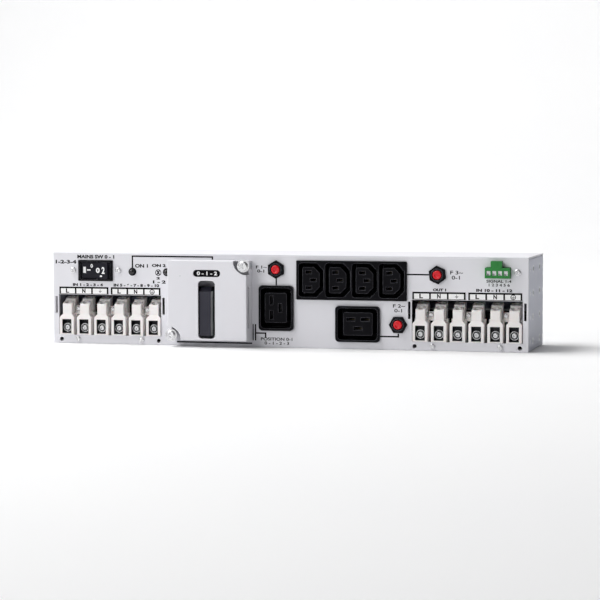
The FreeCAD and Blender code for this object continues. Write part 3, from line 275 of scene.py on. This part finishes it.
def lettering(name, text, across, up, depth=FACE, material=BLACK_INK, body="chassis",
              bold=0.00006, turn=0.0):
    """Lettering that fills the spans across (X) and up (Z) on a face towards -Y.

    A face that is turned about Z gives its turn; the lettering then turns about its own middle.
    """
    mesh = text_mesh(text, up[1] - up[0], bold)
    spots = [vertex.co for vertex in mesh.vertices]
    low = Vector([min(spot[axis] for spot in spots) for axis in range(3)])
    high = Vector([max(spot[axis] for spot in spots) for axis in range(3)])
    size, centre = high - low, (high + low) / 2
    fit = Matrix.Diagonal(((across[1] - across[0]) / size.x, (up[1] - up[0]) / size.y, 1.0, 1.0))
    upright = Matrix.Rotation(math.pi / 2, 4, "X")
    place = Vector(((across[0] + across[1]) / 2, depth - INK / 2, (up[0] + up[1]) / 2))
    mesh.transform(Matrix.Translation(place) @ Matrix.Rotation(turn, 4, "Z") @ upright @ fit
                   @ Matrix.Translation(-centre))
    return finish_piece(mesh, name, material, body)


def reach(centre, low, high):
    """A span given in millimetres to either side of a place."""
    return (centre + low * MM, centre + high * MM)


def ring(name, x, z, radius, width, depth=FACE, material=BLACK_INK, body="chassis"):
    """A thin printed ring."""
    built = bmesh.new()
    steps = 40
    loops = []
    for radial in (radius, radius - width):
        loops.append([built.verts.new((x + radial * math.cos(2 * math.pi * step / steps), depth - INK,
                                       z + radial * math.sin(2 * math.pi * step / steps)))
                      for step in range(steps)])
    for step in range(steps):
        after = (step + 1) % steps
        built.faces.new((loops[0][step], loops[0][after], loops[1][after], loops[1][step]))
    bmesh.ops.recalc_face_normals(built, faces=built.faces)
    mesh = bpy.data.meshes.new(name)
    built.to_mesh(mesh)
    built.free()
    return finish_piece(mesh, name, material, body)


def middle(node):
    """The middle of a node's box."""
    low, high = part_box(node)
    return (low + high) / 2


def earth_bars(x, z, size):
    """The earth symbol: a stem over three shrinking bars."""
    stroke = size * 0.09
    bars = [(x - stroke / 2, x + stroke / 2, z, z + size * 0.5)]
    for step, share in enumerate((0.44, 0.29, 0.13)):
        level = z - size * 0.17 * step
        bars.append((x - size * share, x + size * share, level - stroke, level))
    return bars


def label_cells():
    """Frames and signs of the twelve terminal label cells."""
    stroke = 1.5 * MM
    labels_low, labels_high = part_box("terminal_labels")
    z_low, z_high = labels_low.z, labels_high.z
    top_face = labels_low.y
    for side, edge_of_row, inward in (("input", labels_low.x, 1), ("output", labels_high.x, -1)):
        strip_middle = edge_of_row + inward * 48.8 * MM
        bars, signs = [], []
        for group in (-1, 1):
            centre = strip_middle + group * 25.0 * MM
            half = 23.8 * MM
            cell = 2 * half / 3
            bars += [(centre - half, centre + half, z_high - stroke, z_high),
                     (centre - half, centre + half, z_low, z_low + 0.5 * MM)]
            for line in range(4):
                edge = centre - half + line * cell
                left = edge - stroke / 2 if 0 < line < 3 else (edge if line == 0 else edge - stroke)
                bars.append((left, left + stroke, z_low, z_high))
            for index, sign_text in enumerate(("L", "N", None)):
                x = centre - half + (index + 0.5) * cell
                z = (z_low + z_high) / 2 - 0.3 * MM
                if sign_text:
                    lettering(f"{side}_sign_{group + 1}_{index}", sign_text, reach(x, -1.6, 1.6),
                              reach(z, -2.0, 2.0), top_face, bold=0.00022)
                else:
                    signs += earth_bars(x, z, 3.4 * MM)
                    if group > 0:
                        ring(f"{side}_earth_ring", x, z, 2.35 * MM, 0.6 * MM, top_face)
        printed_bars(f"{side}_label_frames", bars + signs, top_face, BLACK_INK)


def stripe(x_low, x_high, z_low, z_high, stroke):
    """A straight printed line between two points, upright or level, with square ends."""
    half = stroke / 2
    return (min(x_low, x_high) - half, max(x_low, x_high) + half,
            min(z_low, z_high) - half, max(z_low, z_high) + half)


def panel_lines():
    """The printed lines that tie the lamps, switch, breakers and outlets together, and a black bar under the
    bypass cover that is painted shadow.
    """
    stroke = 1.35 * MM
    lamp_low, lamp_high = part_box("lamp_bezels")
    radius = (lamp_high.z - lamp_low.z) / 2
    lamp_x, lamp_z = lamp_low.x + radius, lamp_high.z + 0.6 * MM
    cover_low, cover_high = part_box("bypass_cover")
    line_z = cover_high.z + 2.5 * MM
    line_end = (cover_low.x + cover_high.x) / 2
    printed_bars("lamp_line", [
        stripe(lamp_x, lamp_x, lamp_z, line_z, stroke),
        stripe(lamp_x, line_end, line_z, line_z, stroke),
        stripe(line_end, line_end, line_z - 2.4 * MM, line_z, stroke),
    ], FACE, BLACK_INK)

    stroke = 1.3 * MM
    nut = 8.4 * MM
    left, mid, right = [middle(f"{name}_breaker_button") for name in ("left", "middle", "right")]
    upright_low, upright_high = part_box("left_large_outlet_housing")
    bank_low, bank_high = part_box("outlet_bank_housing")
    lying_low, lying_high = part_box("right_large_outlet_housing")
    level = lying_low.z + 5.4 * MM
    printed_bars("breaker_lines", [
        stripe(left.x, left.x, upright_high.z + 0.7 * MM, left.z - nut, stroke),
        stripe(bank_high.x + 0.7 * MM, right.x - nut, right.z, right.z, stroke),
        stripe(lying_high.x + 0.7 * MM, mid.x, level, level, stroke),
        stripe(mid.x, mid.x, level, mid.z - nut, stroke),
    ], FACE, BLACK_INK)

    right_edge = cover_high.x + 1.0 * MM
    low, high = cover_low.z - 0.4 * MM, cover_low.z + 14.4 * MM
    lead = low + 6.8 * MM
    printed_bars("cover_brackets_and_shadow_bar", [
        stripe(right_edge, right_edge, low + 0.6 * MM, high - 0.6 * MM, 1.0 * MM),
        stripe(right_edge + 2.2 * MM, right_edge + 2.2 * MM, low + 0.6 * MM, high - 0.6 * MM, 1.2 * MM),
        stripe(right_edge + 2.8 * MM, right_edge + 11.6 * MM, lead, lead, stroke),
        stripe(right_edge + 11.6 * MM, right_edge + 11.6 * MM, lead - 3.5 * MM, lead, stroke),
        stripe(cover_low.x - 3.4 * MM, cover_low.x - 3.4 * MM, cover_low.z + 25 * MM,
               cover_low.z + 41 * MM, stroke),
        # Black bar just under the bypass cover's foot: painted shadow of the cover.
        (cover_low.x + 3.0 * MM, cover_high.x, cover_low.z - 3.6 * MM, cover_low.z - 2.3 * MM),
    ], FACE, BLACK_INK)


def panel_words():
    """Short generic legends in the places where such a panel has its printing.

    Each row: name, words, the place they belong to, and their reach across and up from it in mm.
    """
    bezel = middle("input_switch_housing")
    lamp_low, lamp_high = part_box("lamp_bezels")
    radius = (lamp_high.z - lamp_low.z) / 2
    lamp_one = Vector((lamp_low.x + radius, 0, lamp_low.z + radius))
    lamp_two = Vector((lamp_high.x - radius, 0, lamp_low.z + radius))
    labels_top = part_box("terminal_labels")[1].z
    strips = [Vector((middle(f"{side}_terminal_strip").x, 0, labels_top)) for side in ("input", "output")]
    left, mid, right = [middle(f"{name}_breaker_button") for name in ("left", "middle", "right")]
    outlet = middle("left_large_outlet_housing")
    outlet.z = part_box("left_large_outlet_housing")[0].z
    plug = middle("signal_header")
    rows = (
        ("legend_switch", "MAINS SW 0 - 1", bezel, (-17.8, 17.9), (11.0, 14.3)),
        ("legend_rating", "1-2-3-4", bezel, (-39.0, -18.8), (6.0, 9.4)),
        ("legend_lamp_1", "ON 1", lamp_one, (2.5, 14.8), (3.8, 7.1)),
        ("legend_lamp_2", "ON 2", lamp_two, (-14.3, -1.1), (4.6, 7.3)),
        ("lamp_symbol_cross", "x", lamp_two, (-10.2, -6.3), (-2.4, 1.4)),
        ("lamp_state_1", "2", lamp_two, (-10.0, -6.6), (-6.7, -4.5)),
        ("lamp_state_2", "1 - 2", lamp_two, (-13.4, -1.2), (-10.4, -7.5)),
        ("legend_strip_1", "IN 1 - 2 - 3 - 4", strips[0], (-36.0, -6.9), (0.7, 3.3)),
        ("legend_strip_2", "IN 5 - 6 - 7 - 8 - 9 - 10", strips[0], (3.5, 47.1), (0.6, 3.4)),
        ("legend_strip_3", "OUT 1", strips[1], (-30.5, -18.7), (0.7, 3.1)),
        ("legend_strip_4", "IN 10 - 11 - 12", strips[1], (8.0, 39.9), (0.7, 3.3)),
        ("legend_left_breaker", "F 1~\n0-1", left, (-18.9, -8.7), (-2.9, 3.3)),
        ("legend_middle_breaker", "F 2~\n0-1", mid, (-4.9, 6.0), (11.0, 18.2)),
        ("legend_right_breaker", "F 3~\n0-1", right, (11.2, 22.6), (-3.9, 3.8)),
        ("legend_position", "POSITION 0-1\n0 - 1 - 2 - 3", outlet, (-14.6, 14.7), (-12.6, -6.2)),
        ("legend_signal", "SIGNAL 1-4\n1 2 3 4 5 6", plug, (-10.5, 11.5), (-11.95, -6.25)),
    )
    for name, words, place, across, up in rows:
        lettering(name, words, reach(place.x, *across), reach(place.z, *up), bold=0.00020)
    ring("lamp_symbol_ring", lamp_two.x - 8.25 * MM, lamp_two.z - 0.5 * MM, 2.9 * MM, 0.65 * MM)


def handle_painted_highlight():
    """A white strip down the right side of the bypass handle: a painted highlight for the grazing reflection
    along that side.
    """
    low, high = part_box("bypass_handle")
    side = middle("bypass_handle").x + HANDLE_HALF_WIDTH
    corner = Vector((side, low.y + 0.9 * MM, low.z + 0.4 * MM))
    far = Vector((side + INK, low.y + 7.4 * MM, high.z - 4.0 * MM))
    built = bmesh.new()
    size = Matrix.Diagonal((*(far - corner), 1.0))
    bmesh.ops.create_cube(built, size=1.0, matrix=Matrix.Translation((corner + far) / 2) @ size)
    mesh = bpy.data.meshes.new("handle_painted_highlight")
    built.to_mesh(mesh)
    built.free()
    finish_piece(mesh, "handle_painted_highlight", WHITE_INK, "bypass_handle_and_shaft")


def window_words():
    """White figures on the black insert behind the cover's window."""
    low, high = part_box("cover_window_insert")
    insert = (low + high) / 2
    lettering("window_figures", "0 - 1 - 2", reach(insert.x, -9.5, 9.5), reach(insert.z, -1.7, 1.7),
              low.y, WHITE_INK, "bypass_cover", bold=0.00018)


def rocker_marks():
    """White figures on the two slopes of the rocker, and one white dash low on the right slope that is a
    painted highlight.
    """
    pivot = Vector(JOINTS["input_rocker_tilt"]["pos_m"])
    tilt = math.radians(-10.0)
    slope = math.atan2(2.4, 13.02)
    # The last mark, the white dash low on the right slope, is a painted highlight.
    marks = (("1", -10.2, 0.5, 2.6, 5.6), ("-", -6.2, 0.4, 3.4, 1.2), ("0", -3.4, 4.2, 2.3, 3.4),
             ("0", 3.0, 0.2, 4.4, 4.6), ("2", 9.2, 0.3, 3.6, 6.2), ("-", 6.6, -5.0, 2.4, 1.4))
    for index, (text, out, up, wide, tall) in enumerate(marks):
        side = -1 if out < 0 else 1
        surface_y = -3.0 - 2.4 * abs(out) / 13.02
        along = Matrix.Rotation(tilt, 3, "Z") @ Vector((out * MM, surface_y * MM, 0))
        spot = pivot + along
        lettering(f"rocker_mark_{index + 1}", text, reach(spot.x, -wide / 2, wide / 2),
                  reach(pivot.z + up * MM, -tall / 2, tall / 2), spot.y, WHITE_INK, "input_rocker",
                  bold=0.00022, turn=tilt - slope * side)


# ---------------------------------------------------------------- stage, light and camera


def studio():
    """Pale floor that curves up into a backdrop, and soft light from above and the left."""
    built = bmesh.new()
    profile = [(-4.0, 0.0), (1.6, 0.0)]
    steps = 24
    sweep = 1.4
    for step in range(1, steps + 1):
        turn = math.pi / 2 * step / steps
        profile.append((1.6 + sweep * math.sin(turn), sweep * (1 - math.cos(turn))))
    profile.append((1.6 + sweep, 5.0))
    rows = [[built.verts.new((x, y, z - 0.00005)) for y, z in profile] for x in (-5.0, 5.0)]
    for step in range(len(profile) - 1):
        built.faces.new((rows[0][step], rows[1][step], rows[1][step + 1], rows[0][step + 1]))
    mesh = bpy.data.meshes.new("studio_floor")
    built.to_mesh(mesh)
    built.free()
    for face in mesh.polygons:
        face.use_smooth = True
    made = bpy.data.materials.new("studio_white")
    made.use_nodes = True
    tree = made.node_tree
    shader = tree.nodes["Principled BSDF"]
    coords = add(tree, "ShaderNodeTexCoord").outputs["Object"]
    pale = blend_colour(tree, spread(tree, noise(tree, coords, 3.0), 0.0, 1.0),
                        (0.93, 0.93, 0.93), (0.92, 0.92, 0.925))
    link(tree, pale, shader.inputs["Base Color"])
    shader.inputs["Roughness"].default_value = 0.7
    shader.inputs["Specular IOR Level"].default_value = 0.2
    mesh.materials.append(made)
    floor = bpy.data.objects.new("studio_floor", mesh)
    bpy.context.scene.collection.objects.link(floor)

    world = bpy.data.worlds.new("studio_world")
    bpy.context.scene.world = world
    world.use_nodes = True
    world.node_tree.nodes["Background"].inputs["Color"].default_value = (0.97, 0.98, 1.0, 1.0)
    world.node_tree.nodes["Background"].inputs["Strength"].default_value = 0.08

    lights = (
        ("overhead", (-1.4, -0.2, 2.1), (-0.1, 0.0, 0), (2.0, 1.8), 78.0),
        ("front_left", (-1.4, -2.8, 1.2), (0, 0, 0.05), (1.5, 1.3), 28.0),
        ("backdrop", (-0.6, 1.4, 2.6), (0, 3.0, 0.9), (4.0, 1.0), 34.0),
    )
    for name, place, target, size, power in lights:
        data = bpy.data.lights.new(name, "AREA")
        data.shape = "RECTANGLE"
        data.size, data.size_y = size
        data.energy = power
        lamp = bpy.data.objects.new(name, data)
        lamp.location = place
        aim = Vector(target) - Vector(place)
        lamp.rotation_euler = aim.to_track_quat("-Z", "Y").to_euler()
        bpy.context.scene.collection.objects.link(lamp)


def camera():
    """Camera at the height, side and distance from which the box is seen."""
    place = Vector((0.52929, FACE - 1.93096, 0.17891))
    yaw, pitch, roll = math.radians(14.93), math.radians(3.894), math.radians(-0.12)
    data = bpy.data.cameras.new("studio_camera")
    data.lens = 134.7
    data.sensor_width = 36.0
    data.clip_end = 30.0
    made = bpy.data.objects.new("studio_camera", data)
    made.location = place
    forward = Vector((-math.sin(yaw) * math.cos(pitch), math.cos(yaw) * math.cos(pitch), -math.sin(pitch)))
    turn = forward.to_track_quat("-Z", "Y") @ Matrix.Rotation(roll, 3, "Z").to_quaternion()
    made.rotation_euler = turn.to_euler()
    bpy.context.scene.collection.objects.link(made)
    bpy.context.scene.camera = made
    bpy.context.scene.view_settings.view_transform = "Standard"


# ---------------------------------------------------------------- assembly

camera()
studio()
dress_cad_nodes()
label_cells()
panel_lines()
panel_words()
handle_painted_highlight()
window_words()
rocker_marks()
